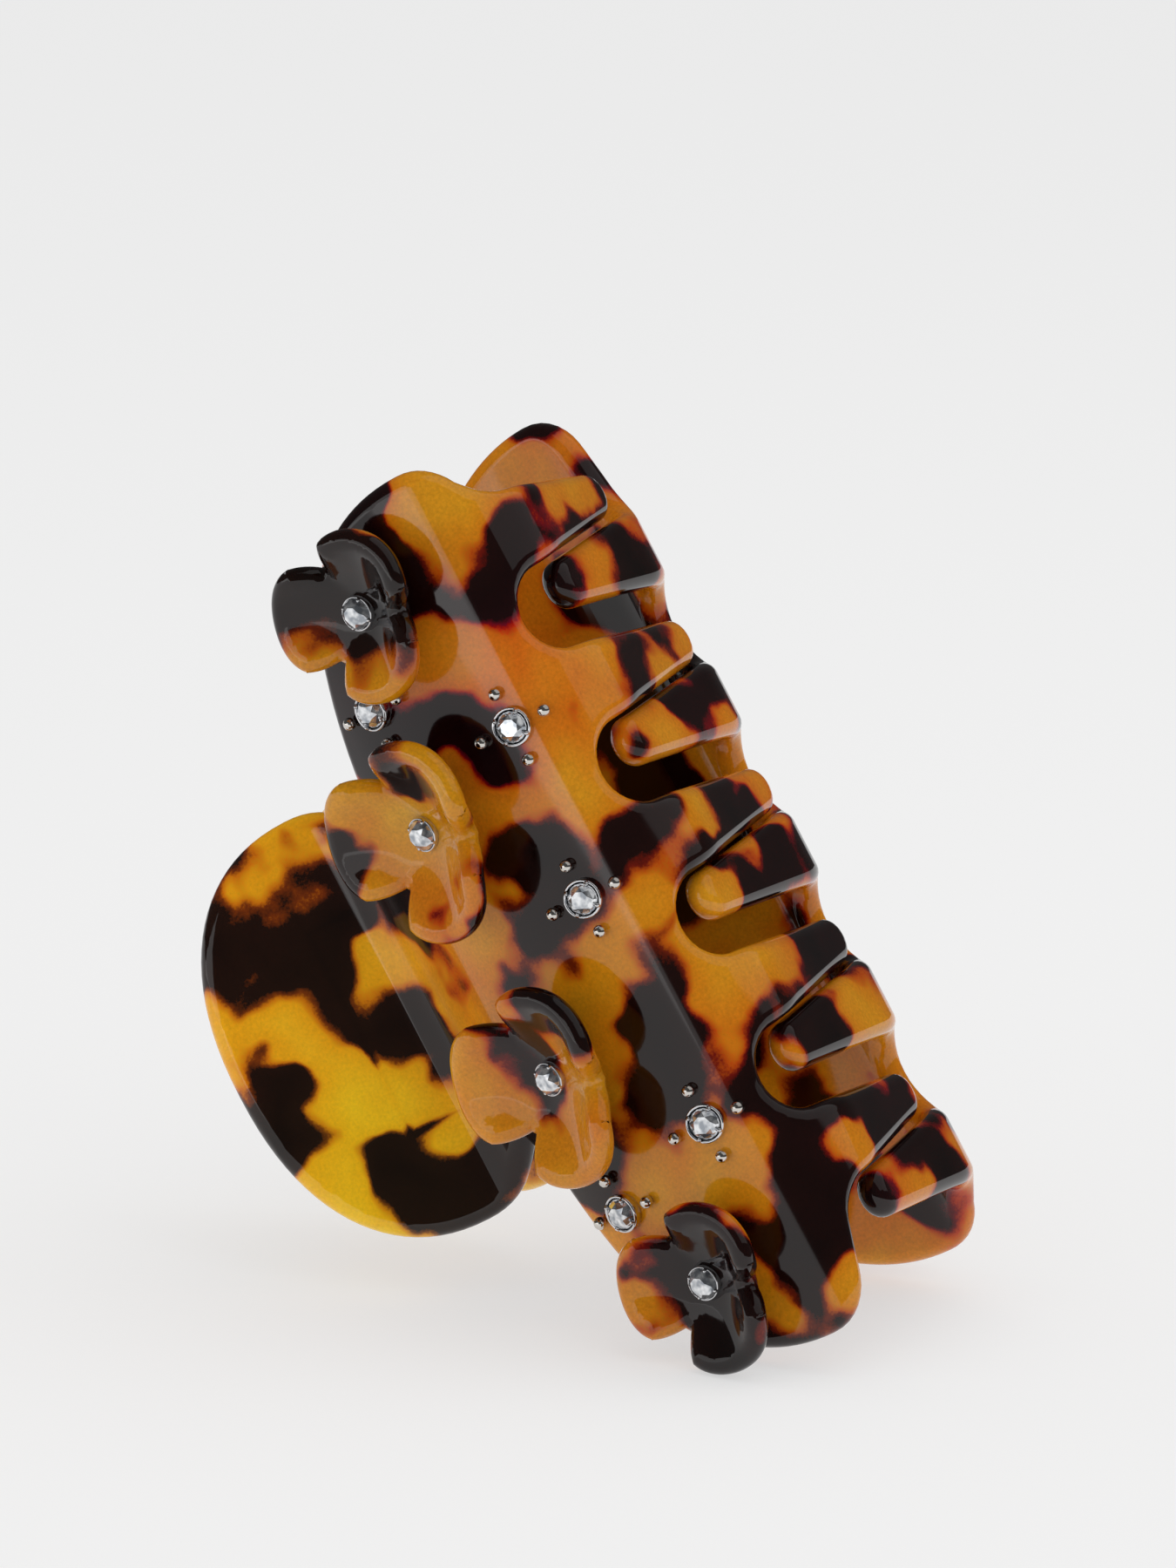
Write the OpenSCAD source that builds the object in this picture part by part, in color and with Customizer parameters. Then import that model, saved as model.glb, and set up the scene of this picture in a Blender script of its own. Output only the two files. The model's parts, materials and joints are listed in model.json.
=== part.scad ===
// Hair claw clip: two bent acetate jaws on a sprung hinge, with flowers, stones and ball studs.
// Frame: X runs along the clip and the hinge pin, +Y towards the front jaw, +Z towards the thumb tabs.
// The origin is under the middle of the clip, level with the lowest point of the teeth.

/* [Jaw sheet] */
// Length of each jaw, end lobe to end lobe
jaw_length = 92; // [86:1:112]
// Thickness of the acetate sheet
sheet_t = 3.2; // [2.6:0.1:3.6]
// Outer radius of the body's curve
body_radius = 30; // [27:0.5:36]
// Direction that the outer face points at the top of the body, up from level
body_top_angle = 45; // [40:1:50]
// Direction that the outer face points where the body meets the claw curve
body_low_angle = -10; // [-16:1:-6]
// Outer radius of the curve from the body into the teeth
claw_radius = 9; // [7.5:0.5:11]
// Outer radius of the hollow bend between the body and the thumb tab
bend_radius = 5; // [4:0.5:7]
// Height of the end lobes' lower edge above the bottom of the teeth
lobe_rise = 2.6; // [2:0.2:5]

/* [Thumb tab] */
// Width of the thumb tab
tab_width = 44; // [36:1:50]
// Height of the tab's edge above the hinge pin
tab_height = 19; // [15:0.5:23]
// Lean of the tab away from upright
tab_flare = 29; // [24:1:33]
// Width of the neck between the tab and the body
neck_width = 31; // [28:1:34]

/* [Teeth] */
// Number of teeth on each jaw
tooth_count = 5; // [3:1:5]
// Distance from one tooth to the next
tooth_pitch = 16.5; // [15.8:0.1:17]
// Width of a tooth at its root
tooth_root_w = 8; // [7.6:0.1:8.2]
// Width of a tooth at its tip
tooth_tip_w = 5; // [4:0.1:5.2]
// Reach of the middle tooth's tip past the middle plane
tooth_reach = 12.4; // [9:0.2:12.6]
// Reach of the end teeth's tips past the middle plane
end_reach = 9.2; // [7:0.2:11]
// Sideways shift of each jaw's row of teeth
comb_shift = 3.35; // [3.3:0.05:3.6]
// Distance from the bottom of the teeth up to the ends of the gaps between them
gap_rise = 3.6; // [3:0.2:5]

/* [Hinge] */
// Distance from the hinge pin to each jaw's inner face
hinge_room = 4.3; // [4.1:0.1:5]
// Height of the bend's centre above the hinge pin
bend_rise = 0.7; // [0:0.1:1.5]
// Diameter of the hinge pin
pin_d = 1.8; // [1.4:0.1:2]
// Diameter of the pin's heads
pin_head_d = 3; // [2.8:0.1:3.6]
// Thickness of the pin's heads
pin_head_t = 0.6; // [0.4:0.1:0.8]
// Length of each hinge leaf
leaf_length = 22.2; // [19:0.2:24]
// Width of an ear's metal past the pin's head
ear_margin = 0.9; // [0.6:0.1:1]
// Thickness of the hinge leaf's metal
leaf_t = 0.7; // [0.5:0.1:0.8]
// Length of the leaf's flat part on the tab
leaf_flat = 2.4; // [1.6:0.2:4]
// Diameter of the prongs that fix a leaf in its jaw
prong_d = 1.4; // [1.2:0.1:1.6]
// Depth of the prongs in the jaw
prong_depth = 1.8; // [1.4:0.1:2]
// Distance between a leaf's two prongs
prong_spacing = 12; // [8:1:16]
// Gap between the ears of the two leaves
ear_gap = 0.3; // [0.25:0.05:0.5]

/* [Spring] */
// Wire diameter of the torsion spring
wire_d = 0.9; // [0.7:0.05:1]
// Outer diameter of the spring's coil
coil_d = 5.6; // [5.2:0.1:6]
// Number of turns
coil_turns = 9; // [5:1:12]

/* [Flowers] */
// Places of the flowers along a jaw
flower_x = [-36, -14.4, 12, 36];
// Radius to the petal tips of the two middle flowers
large_flower_r = 11.4; // [10:0.1:12.5]
// Radius to the petal tips of the two end flowers
small_flower_r = 9.4; // [8:0.1:10.2]
// Place of the middle flowers round the body's curve
large_flower_angle = 15; // [12:1:18]
// Place of the end flowers round the body's curve
small_flower_angle = 6; // [4:1:9]
// Extra lean of every flower towards the thumb tab
flower_lean = 7; // [0:1:10]
// Turn of every flower about its own axis
flower_turn = 20; // [0:5:30]
// Radius of a petal as a share of its flower's radius
petal_share = 0.47; // [0.43:0.01:0.48]
// Thickness of the petals
petal_t = 2.4; // [1.8:0.1:2.8]
// Radius of the petals' cup
cup_radius = 19; // [16:0.5:24]
// Diameter of the boss under a flower
boss_d = 6; // [5:0.5:7]
// Height of a flower's underside above the jaw
boss_rise = 0.5; // [0.4:0.1:1]

/* [Stones and studs] */
// Diameter of the stones
stone_d = 3.1; // [2.4:0.1:3.4]
// Wall of the stone settings
setting_wall = 0.4; // [0.3:0.05:0.5]
// Height of the settings
setting_h = 1.4; // [1.2:0.1:1.8]
// Depth that settings and bosses are let into what they sit on
seat_depth = 0.4; // [0.3:0.05:0.6]
// Diameter of the ball studs
ball_d = 1.3; // [1:0.1:1.5]
// Diameter of the studs' shanks
shank_d = 0.7; // [0.5:0.05:0.9]
// Length of the studs' shanks
shank_l = 1.4; // [1:0.1:1.8]
// Distance from a stone's centre to the studs round it
stud_circle_r = 3.5; // [3:0.1:4]
// Places of the stone clusters along a jaw
cluster_x = [-27.2, -19.6, -1.9, 22.5, 26.8];
// Places of the stone clusters round the body's curve
cluster_angle = [18, -7, -4, -5, 20];

/* [Fits] */
// Gap round whatever is let into a hole, on the radius
seat_clearance = 0.03; // [0.02:0.01:0.06]
// Gap round the hinge pin, on the radius
pin_clearance = 0.05; // [0.03:0.01:0.08]

/* [Hidden] */
$fn = 48;

// Unit vectors in the cross-section: outward from a face that points at angle a, and on along it
function out(a) = [cos(a), sin(a)];
function along(a) = [sin(a), -cos(a)];

// Centres of the cross-section's arcs, measured from the pin
bend_c = [hinge_room + sheet_t + bend_radius, bend_rise];
body_c = bend_c - (bend_radius + body_radius) * out(body_top_angle);
claw_c = body_c + (body_radius - claw_radius) * out(body_low_angle);
tooth_angle = -93;
tooth_start = claw_c + claw_radius * out(tooth_angle);
tab_start = bend_c - bend_radius * out(-tab_flare);
tab_band = (tab_height - tab_start[1]) / cos(tab_flare) + sheet_t;
pin_height = claw_radius - claw_c[1];

// The teeth are shaped in plan up to this distance from the middle plane, and in front view past it
plan_edge = claw_c[0] + claw_radius / 2;
tooth_x = [for (i = [0:tooth_count - 1]) (i - (tooth_count - 1) / 2) * tooth_pitch - comb_shift];
tip_reach = [for (i = [0:tooth_count - 1])
    let (share = abs(2 * i / (tooth_count - 1) - 1)) tooth_reach - (tooth_reach - end_reach) * share * share];
gap_r = (tooth_pitch - tooth_root_w) / 2;
lobe_z = lobe_rise - pin_height;
gap_z = gap_rise - pin_height;
overlap = 0.5;
bend_steps = 24;
body_steps = 40;
reach_all = 80;

ear_x_outer = leaf_length / 2 - leaf_t;
ear_x_inner = ear_x_outer - leaf_t - ear_gap;
ear_r = pin_head_d / 2 + ear_margin;
leaf_low_angle = 25;
leaf_face_r = bend_radius + sheet_t + seat_clearance;
wire_r = wire_d / 2;
coil_r = (coil_d - wire_d) / 2;
turn_pitch = wire_d * 0.94;
leg_d = wire_d * 0.9;
leg_x = (coil_turns - 1) / 2 * turn_pitch;
leg_on_tab = 5.4;

setting_d = stone_d + 2 * setting_wall;
setting_floor = 0.4;
stone_girdle = 0.8;
stone_crown = 0.8;
flower_seat = boss_rise + petal_t - seat_depth;
petal_angles = [for (i = [0:2]) -90 - flower_turn + 120 * i];
flower_r = [small_flower_r, large_flower_r, large_flower_r, small_flower_r];
flower_angle = [small_flower_angle, large_flower_angle, large_flower_angle, small_flower_angle];

// Points of an arc about c from angle a0 to a1
function arc(c, r, a0, a1, n = 12) = [for (i = [0:n]) c + r * out(a0 + (a1 - a0) * i / n)];

// The same arc without its first point, to carry an outline on from where it is
function arc_on(c, r, a0, a1, n) = [for (i = [1:n]) c + r * out(a0 + (a1 - a0) * i / n)];

// Points of a rounded outline whose half-height differs above and below its centre
function squircle(c, rx, up, down, power, n = 48) = [
    for (i = [0:n - 1])
        let (a = 360 * i / n, s = sin(a), k = cos(a), h = s > 0 ? up : down)
            c + [rx * sign(k) * pow(abs(k), 2 / power), h * sign(s) * pow(abs(s), 2 / power)]
];

// Extrudes a cross-section, drawn as Y and Z, along X from x0
module along_x(x0, length) {
    translate([x0, 0, 0]) rotate([90, 0, 90]) linear_extrude(length) children();
}

// Extrudes a front view, drawn as X and Z, through the whole depth
module through_y() {
    translate([0, reach_all / 2, 0]) rotate([90, 0, 0]) linear_extrude(reach_all) children();
}

// Cross-section of the bent sheet from the tab's edge to the tips of the teeth, as one outline
module sheet_section() {
    tab_edge = tab_start - tab_band * along(-tab_flare);
    tip = tooth_start + (tooth_start[0] + tooth_reach + overlap) * along(tooth_angle);
    high = 180 - tab_flare;
    low = 180 + body_top_angle;
    polygon(concat(
        [tab_edge],
        arc(bend_c, bend_radius, high, low, bend_steps),
        arc_on(body_c, body_radius, body_top_angle, body_low_angle, body_steps),
        arc_on(claw_c, claw_radius, body_low_angle, tooth_angle, bend_steps),
        [tip, tip - sheet_t * out(tooth_angle)],
        arc(claw_c, claw_radius - sheet_t, tooth_angle, body_low_angle, bend_steps),
        arc_on(body_c, body_radius - sheet_t, body_low_angle, body_top_angle, body_steps),
        arc_on(bend_c, bend_radius + sheet_t, low, high, bend_steps),
        [tab_edge - sheet_t * out(-tab_flare)]));
}

// Front view of half the body: a shoulder arc, the end of the lobe and its lower corner
module body_half_outline() {
    end_r = 19;
    shoulder_r = 53;
    meet_angle = 61;
    corner_r = 6;
    end_c = [jaw_length / 2 - end_r, lobe_z + corner_r];
    shoulder_c = end_c - (shoulder_r - end_r) * out(meet_angle);
    polygon(concat(
        [[0, lobe_z]],
        arc([jaw_length / 2 - corner_r, lobe_z + corner_r], corner_r, -90, 0, 8),
        arc(end_c, end_r, 0, meet_angle, 12),
        arc(shoulder_c, shoulder_r, meet_angle, 90, 8),
        [[0, shoulder_c[1] + shoulder_r]]));
}

// Front view of the tab and its neck
module tab_outline() {
    centre_rise = 3.5;
    lower_drop = 4.6;
    corner_power = 2.5;
    neck_depth = 12;
    polygon(squircle([0, centre_rise], tab_width / 2, tab_height - centre_rise, centre_rise + lower_drop,
                     corner_power));
    translate([-neck_width / 2, body_c[1] + neck_depth]) square([neck_width, neck_depth]);
}

// Plan of one tooth, from its round tip to its root
module tooth_plan(reach) {
    tip_y = tooth_tip_w / 2 - reach;
    polygon([[-tooth_tip_w / 2, tip_y], [tooth_tip_w / 2, tip_y],
             [tooth_root_w / 2, plan_edge + overlap], [-tooth_root_w / 2, plan_edge + overlap]]);
    translate([0, tip_y]) circle(d = tooth_tip_w);
}

// The whole jaw before its seats and holes are cut, measured from the pin
module jaw_blank() {
    intersection() {
        along_x(-jaw_length / 2, jaw_length) sheet_section();
        union() {
            difference() {
                union() {
                    through_y() union() {
                        body_half_outline();
                        mirror([1, 0]) body_half_outline();
                        tab_outline();
                    }
                    for (x = tooth_x)
                        translate([x - tooth_root_w / 2, plan_edge, -pin_height])
                            cube([tooth_root_w, reach_all / 2, gap_rise + overlap]);
                }
                for (x = tooth_x) if (x < tooth_x[tooth_count - 1])
                    translate([x + tooth_pitch / 2, 0, gap_z - gap_r]) rotate([90, 0, 0])
                        cylinder(r = gap_r, h = reach_all, center = true);
                translate([-jaw_length, -reach_all, -pin_height - 1])
                    cube([2 * jaw_length, reach_all + plan_edge, gap_rise + sheet_t]);
            }
            for (i = [0:tooth_count - 1])
                translate([tooth_x[i], 0, -pin_height - 1])
                    linear_extrude(gap_rise + sheet_t + 3) tooth_plan(tip_reach[i]);
        }
    }
}

// Puts a piece on the body's outer face, with its own Z along the face's outward direction
module on_face(x, a, lean = 0) {
    p = body_c + body_radius * out(a);
    translate([x, p[0], p[1]]) rotate([a + lean - 90, 0, 0]) children();
}

module each_flower() {
    for (i = [0:3]) on_face(flower_x[i], flower_angle[i], flower_lean) children();
}

module each_cluster() {
    for (i = [0:4]) on_face(cluster_x[i], cluster_angle[i]) children();
}

// Studs stand square to the curved face on four sides of each stone
module each_stud() {
    step = stud_circle_r / body_radius * 180 / PI;
    for (i = [0:4]) {
        for (side = [-1, 1]) {
            on_face(cluster_x[i] + side * stud_circle_r, cluster_angle[i]) children();
            on_face(cluster_x[i], cluster_angle[i] + side * step) children();
        }
    }
}

// Places of the leaf's prongs, on the jaw's inner face at the bend
module each_prong() {
    prong_angle = 172;
    p = bend_c + leaf_face_r * out(prong_angle);
    for (side = [-1, 1])
        translate([side * prong_spacing / 2, p[0], p[1]]) rotate([prong_angle + 90, 0, 0]) children();
}

// Stands a piece of the front jaw, measured from the pin, on the ground
module front() {
    translate([0, 0, pin_height]) children();
}

// The same piece turned round for the back jaw
module back() {
    rotate([0, 0, 180]) front() children();
}

module jaw() {
    hole_extra = 0.1;
    color("chocolate") difference() {
        jaw_blank();
        each_flower() translate([0, 0, -seat_depth]) cylinder(d = boss_d + 2 * seat_clearance, h = 2);
        each_cluster() translate([0, 0, -seat_depth]) cylinder(d = setting_d + 2 * seat_clearance, h = 2);
        each_stud() translate([0, 0, -shank_l - hole_extra])
            cylinder(d = shank_d + 2 * seat_clearance, h = shank_l + 1);
        each_prong() translate([0, 0, -1])
            cylinder(d = prong_d + 2 * seat_clearance, h = prong_depth + hole_extra + 1);
    }
}

// Stamped leaf: a curved plate against the jaw, an ear at each end for the pin, and two prongs
module hinge_leaf() {
    color("silver") difference() {
        union() {
            along_x(-ear_x_inner - leaf_t, ear_x_outer + ear_x_inner + 2 * leaf_t) leaf_section();
            for (x = [ear_x_outer, -ear_x_inner - leaf_t]) along_x(x, leaf_t) ear_section();
            each_prong() translate([0, 0, -leaf_t / 2]) cylinder(d = prong_d, h = prong_depth + leaf_t / 2);
        }
        rotate([0, 90, 0]) cylinder(d = pin_d + 2 * pin_clearance, h = leaf_length * 2, center = true);
    }
}

module leaf_section() {
    low = 180 + leaf_low_angle;
    high = 180 - tab_flare;
    edge = bend_c + leaf_face_r * out(high) - leaf_flat * along(-tab_flare);
    polygon(concat(arc(bend_c, leaf_face_r, low, high, 18), [edge, edge - leaf_t * out(-tab_flare)],
                   arc(bend_c, leaf_face_r + leaf_t, high, low, 18)));
}

// The ear's wide end lies inside the plate's thickness, and its narrow end inside the eye
module ear_section() {
    plate_r = leaf_face_r + 0.7 * leaf_t;
    inset = 3;
    difference() {
        union() {
            circle(ear_r);
            polygon([[0, -0.6 * ear_r], bend_c - plate_r * out(leaf_low_angle - inset), bend_c,
                     bend_c - plate_r * out(inset - tab_flare), [0, 0.6 * ear_r]]);
        }
        translate(bend_c) circle(leaf_face_r + leaf_t / 2, $fn = 96);
    }
}

// The pin's heads stand just clear of the leaves' ears
module hinge_pin() {
    shank = 2 * (ear_x_outer + leaf_t) + 0.2;
    color("gainsboro") rotate([0, 90, 0]) {
        cylinder(d = pin_d, h = shank + pin_head_t, center = true);
        for (side = [-1, 1])
            translate([0, 0, side * (shank + pin_head_t) / 2])
                cylinder(d = pin_head_d, h = pin_head_t, center = true);
    }
}

// One leg of the spring runs straight from the coil to the inner face of its tab.
// It is drawn a little thinner than the wire, so that it joins the coil cleanly.
module spring_leg() {
    foot = bend_c - (leaf_face_r + wire_r + 0.02) * out(-tab_flare) - leg_on_tab * along(-tab_flare);
    reach = norm(foot);
    tangent = atan2(foot[1], foot[0]) + acos(coil_r / reach);
    start = coil_r * out(tangent);
    length = sqrt(reach * reach - coil_r * coil_r);
    translate([leg_x, start[0], start[1]]) rotate([tangent - 180, 0, 0]) cylinder(d = leg_d, h = length);
}

module torsion_spring() {
    color("lightgray") {
        rotate([0, 90, 0]) rotate_extrude()
            for (i = [0:coil_turns - 1])
                translate([coil_r, (i - (coil_turns - 1) / 2) * turn_pitch]) circle(d = wire_d, $fn = 24);
        spring_leg();
        rotate([0, 0, 180]) spring_leg();
    }
}

// Three cupped petals cut from one bowl, on a boss with a seat for the setting
module flower(i) {
    r = flower_r[i];
    petal_r = r * petal_share;
    color("orange") on_face(flower_x[i], flower_angle[i], flower_lean) difference() {
        union() {
            intersection() {
                translate([0, 0, boss_rise + cup_radius]) difference() {
                    sphere(cup_radius, $fn = 96);
                    sphere(cup_radius - petal_t, $fn = 96);
                }
                for (a = petal_angles)
                    rotate([0, 0, a]) translate([r - petal_r, 0, 0]) cylinder(r = petal_r, h = cup_radius);
            }
            translate([0, 0, -seat_depth]) cylinder(d = boss_d, h = seat_depth + boss_rise + petal_t);
        }
        translate([0, 0, flower_seat]) cylinder(d = setting_d + 2 * seat_clearance, h = cup_radius);
    }
}

// Metal cup that holds a stone
module setting() {
    color("silver") difference() {
        cylinder(d = setting_d, h = setting_h);
        translate([0, 0, setting_floor]) cylinder(d = stone_d + 2 * seat_clearance, h = setting_h);
    }
}

// Round stone with a straight girdle and a sloping crown
module stone() {
    color("lightcyan") translate([0, 0, setting_floor]) {
        cylinder(d = stone_d, h = stone_girdle);
        translate([0, 0, stone_girdle]) cylinder(d1 = stone_d, d2 = stone_d * 0.55, h = stone_crown);
    }
}

module ball_stud() {
    color("silver") {
        translate([0, 0, ball_d / 2]) sphere(d = ball_d);
        translate([0, 0, -shank_l]) cylinder(d = shank_d, h = shank_l + ball_d / 2);
    }
}

front() jaw();  // front_jaw
back() jaw();  // back_jaw
front() hinge_leaf();  // front_hinge_leaf
back() hinge_leaf();  // back_hinge_leaf
front() hinge_pin();
front() torsion_spring();
for (i = [0:3]) {
    front() flower(i);
    back() flower(i);
}
front() each_flower() translate([0, 0, flower_seat]) setting();  // front_flower_settings
back() each_flower() translate([0, 0, flower_seat]) setting();  // back_flower_settings
front() each_flower() translate([0, 0, flower_seat]) stone();  // front_flower_stones
back() each_flower() translate([0, 0, flower_seat]) stone();  // back_flower_stones
front() each_cluster() translate([0, 0, -seat_depth]) setting();  // front_cluster_settings
back() each_cluster() translate([0, 0, -seat_depth]) setting();  // back_cluster_settings
front() each_cluster() translate([0, 0, -seat_depth]) stone();  // front_cluster_stones
back() each_cluster() translate([0, 0, -seat_depth]) stone();  // back_cluster_stones
front() each_stud() ball_stud();  // front_ball_studs
back() each_stud() ball_stud();  // back_ball_studs
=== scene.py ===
import json
import math
import bpy
import bmesh
from mathutils import Matrix, Vector

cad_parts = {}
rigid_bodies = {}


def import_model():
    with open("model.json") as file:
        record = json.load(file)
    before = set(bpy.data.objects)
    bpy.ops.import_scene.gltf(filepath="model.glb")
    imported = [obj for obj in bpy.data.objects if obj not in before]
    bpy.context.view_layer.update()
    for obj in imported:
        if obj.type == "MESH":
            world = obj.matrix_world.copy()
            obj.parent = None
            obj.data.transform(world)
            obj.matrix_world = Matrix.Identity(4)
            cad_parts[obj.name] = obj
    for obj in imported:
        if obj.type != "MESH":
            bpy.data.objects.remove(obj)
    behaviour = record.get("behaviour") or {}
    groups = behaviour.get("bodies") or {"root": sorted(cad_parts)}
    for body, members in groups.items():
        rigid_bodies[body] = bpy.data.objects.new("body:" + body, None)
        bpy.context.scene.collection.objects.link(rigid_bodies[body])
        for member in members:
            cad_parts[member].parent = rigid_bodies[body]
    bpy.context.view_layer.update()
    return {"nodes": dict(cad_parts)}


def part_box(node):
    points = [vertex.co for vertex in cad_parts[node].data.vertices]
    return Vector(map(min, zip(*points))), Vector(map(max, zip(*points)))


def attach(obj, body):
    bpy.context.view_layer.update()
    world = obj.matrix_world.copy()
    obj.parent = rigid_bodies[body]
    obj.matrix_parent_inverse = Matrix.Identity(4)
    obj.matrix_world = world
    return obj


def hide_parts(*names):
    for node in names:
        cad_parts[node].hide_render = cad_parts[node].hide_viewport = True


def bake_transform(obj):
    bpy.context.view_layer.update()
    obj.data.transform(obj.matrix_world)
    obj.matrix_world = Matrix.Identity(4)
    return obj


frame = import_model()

mm = 0.001
pinLow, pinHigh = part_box("hinge_pin")
pinHeight = (pinLow.z + pinHigh.z) / 2
print("frame loaded, hinge pin at", round(pinHeight / mm, 2), "mm")


def hexColour(code):
    # sRGB hex to the linear values that shaders take
    parts = [int(code[i:i + 2], 16) / 255 for i in (1, 3, 5)]
    linear = [c / 12.92 if c <= 0.04045 else ((c + 0.055) / 1.055) ** 2.4 for c in parts]
    return (*linear, 1.0)


def addNode(tree, kind, inputs=None, **settings):
    node = tree.nodes.new(kind)
    for name, value in settings.items():
        setattr(node, name, value)
    for name, value in (inputs or {}).items():
        if isinstance(value, bpy.types.NodeSocket):
            tree.links.new(value, node.inputs[name])
        else:
            node.inputs[name].default_value = value
    return node


def setStops(ramp, stops):
    while len(ramp.elements) < len(stops):
        ramp.elements.new(0.5)
    for element, (place, code) in zip(ramp.elements, stops):
        element.position = place
        element.color = hexColour(code)


def newMaterial(name):
    material = bpy.data.materials.new(name)
    material.use_nodes = True
    material.node_tree.nodes.clear()
    return material, material.node_tree


def finishMaterial(tree, shader):
    addNode(tree, "ShaderNodeOutputMaterial", {"Surface": shader.outputs[0]})


def turnedBack(bm):
    # the back jaw and all it carries are the front ones turned half round
    bmesh.ops.rotate(bm, verts=bm.verts, cent=(0, 0, 0), matrix=Matrix.Rotation(math.pi, 3, "Z"))


def makePiece(bm, name, material, body, nodes, smooth=True):
    bmesh.ops.recalc_face_normals(bm, faces=bm.faces)
    mesh = bpy.data.meshes.new(name)
    for face in bm.faces:
        face.smooth = smooth
    bm.to_mesh(mesh)
    bm.free()
    piece = bpy.data.objects.new(name, mesh)
    bpy.context.scene.collection.objects.link(piece)
    mesh.materials.append(material)
    if body:
        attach(piece, body)
    if nodes:
        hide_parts(*nodes)
    return piece


def addInto(target, source, matrix):
    # copies one bmesh into another, placed by a matrix
    placed = bpy.data.meshes.new("part")
    source.to_mesh(placed)
    placed.transform(matrix)
    target.from_mesh(placed)
    bpy.data.meshes.remove(placed)


def slab(points, thickness, rim, segments):
    # a flat plate, top face at z = 0, with round rims
    bm = bmesh.new()
    face = bm.faces.new([bm.verts.new((x, y, 0)) for x, y in points])
    grown = bmesh.ops.extrude_face_region(bm, geom=[face])
    lower = [v for v in grown["geom"] if isinstance(v, bmesh.types.BMVert)]
    bmesh.ops.translate(bm, verts=lower, vec=(0, 0, -thickness))
    bmesh.ops.recalc_face_normals(bm, faces=bm.faces)
    rims = [e for e in bm.edges if abs(e.verts[0].co.z - e.verts[1].co.z) < thickness / 2]
    bmesh.ops.bevel(bm, geom=rims, offset=rim, segments=segments, affect="EDGES", profile=0.5, material=-1)
    return bm


def cutRows(bm, normal, low, high, step):
    # rows of edges across a plate, so that it can bend
    count = int((high - low) / step)
    for i in range(1, count):
        geom = bm.verts[:] + bm.edges[:] + bm.faces[:]
        place = Vector(normal) * (low + (high - low) * i / count)
        bmesh.ops.bisect_plane(bm, geom=geom, dist=1e-7, plane_co=place, plane_no=normal)


# the bent sheet's cross-section, with the same sizes as the CAD part
sheet = {
    "thickness": 3.2 * mm,
    "bodyRadius": 30 * mm,
    "topAngle": math.radians(45),
    "lowAngle": math.radians(-10),
    "clawRadius": 9 * mm,
    "toothAngle": math.radians(-93),
    "bendRadius": 5 * mm,
    "flare": math.radians(29),
    "hingeRoom": 4.3 * mm,
    "bendRise": 0.7 * mm,
}


def outward(angle):
    return Vector((math.cos(angle), math.sin(angle)))


def along(angle):
    return Vector((math.sin(angle), -math.cos(angle)))


bendCentre = Vector((sheet["hingeRoom"] + sheet["thickness"] + sheet["bendRadius"], sheet["bendRise"]))
bodyCentre = bendCentre - (sheet["bendRadius"] + sheet["bodyRadius"]) * outward(sheet["topAngle"])
clawCentre = bodyCentre + (sheet["bodyRadius"] - sheet["clawRadius"]) * outward(sheet["lowAngle"])
bodyArc = sheet["bodyRadius"] * (sheet["topAngle"] - sheet["lowAngle"])
clawArc = sheet["clawRadius"] * (sheet["lowAngle"] - sheet["toothAngle"])
bendArc = sheet["bendRadius"] * (sheet["topAngle"] + sheet["flare"])


def sheetPoint(s):
    # outer face of the sheet in (y, z) from the pin, and its outward angle; s runs down from the bend
    if s < -bendArc:
        start = bendCentre - sheet["bendRadius"] * outward(-sheet["flare"])
        return start + (s + bendArc) * along(-sheet["flare"]), -sheet["flare"]
    if s < 0:
        angle = sheet["topAngle"] + s / sheet["bendRadius"]
        return bendCentre - sheet["bendRadius"] * outward(angle), angle
    if s < bodyArc:
        angle = sheet["topAngle"] - s / sheet["bodyRadius"]
        return bodyCentre + sheet["bodyRadius"] * outward(angle), angle
    if s < bodyArc + clawArc:
        angle = sheet["lowAngle"] - (s - bodyArc) / sheet["clawRadius"]
        return clawCentre + sheet["clawRadius"] * outward(angle), angle
    start = clawCentre + sheet["clawRadius"] * outward(sheet["toothAngle"])
    return start + (s - bodyArc - clawArc) * along(sheet["toothAngle"]), sheet["toothAngle"]


def onFace(x, angle, lean=0):
    # a matrix that stands a piece on the body's outer face, its own Z outward
    place = bodyCentre + sheet["bodyRadius"] * outward(angle)
    turn = Matrix.Rotation(angle + lean - math.pi / 2, 4, "X")
    return Matrix.Translation((x, place[0], place[1] + pinHeight)) @ turn


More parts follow.
